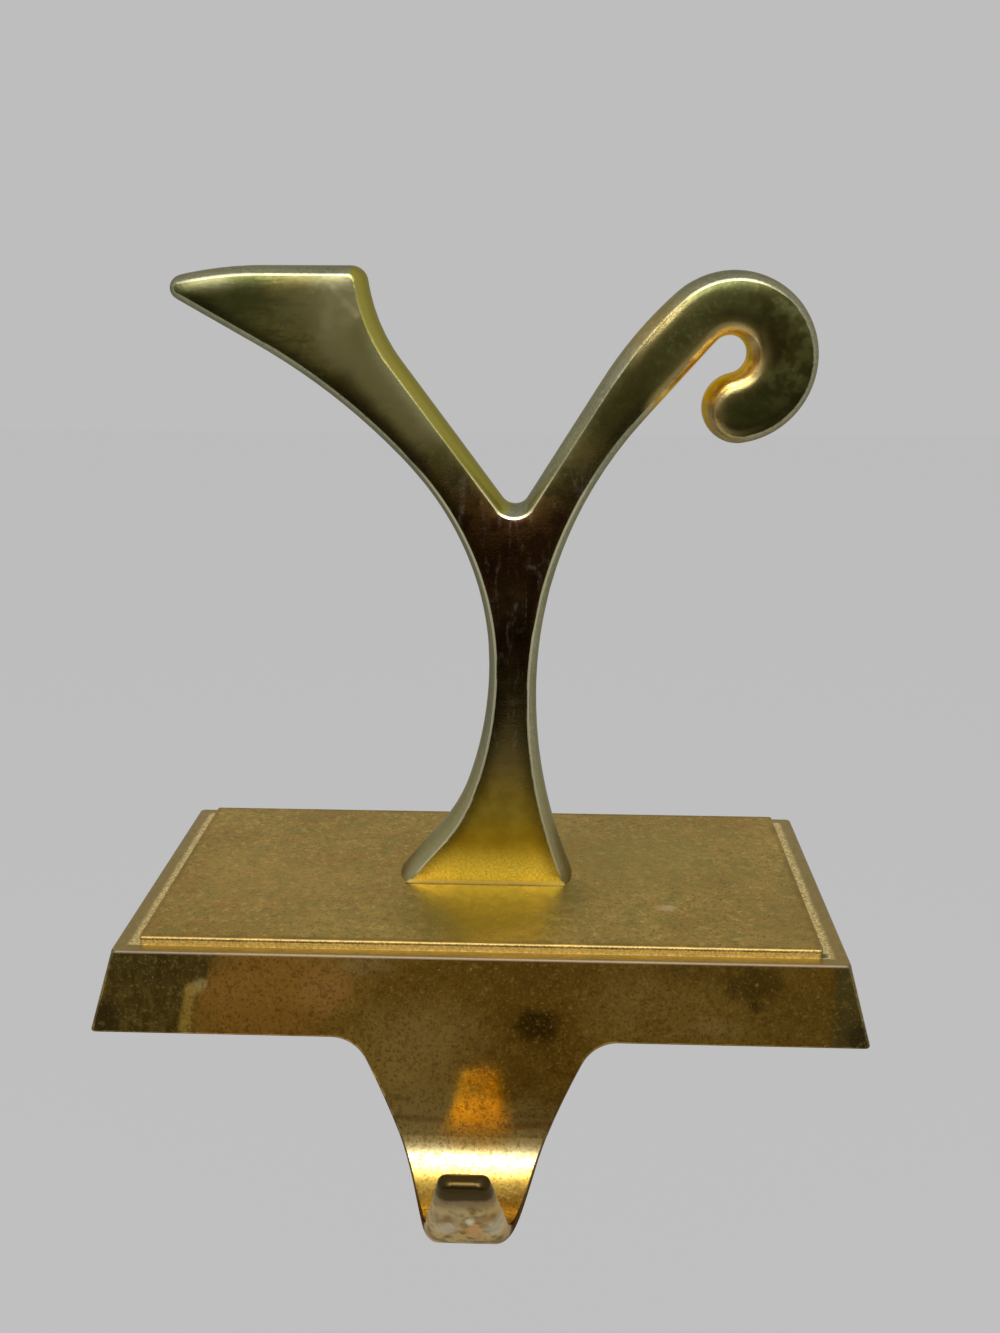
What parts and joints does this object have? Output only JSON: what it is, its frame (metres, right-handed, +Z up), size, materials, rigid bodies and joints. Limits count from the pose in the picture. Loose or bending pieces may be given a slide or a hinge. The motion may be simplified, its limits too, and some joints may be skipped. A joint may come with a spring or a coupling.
{
  "type": "mantel stocking holder",
  "caption": "Cast brass mantel stocking holder: a bevelled hollow base with a raised panel, a front tongue that ends in a stocking hook, and a curled upright initial on top.",
  "frame": {"origin": "middle of the base's underside, in the plane of the rim that stands on the mantel shelf", "axes": "+Z up, +X to the right as seen from the front, -Y to the front, where the hook is"},
  "size_m": [0.1398, 0.107, 0.1608],
  "materials": {
    "base_brass": "polished, tarnished brown",
    "letter_brass": "polished, tarnished olive",
    "screw_steel": "zinc plated"
  },
  "bodies": {
    "root": {"base": "base_brass", "letter": "letter_brass", "letter_screws": "screw_steel"}
  },
  "joints": []
}
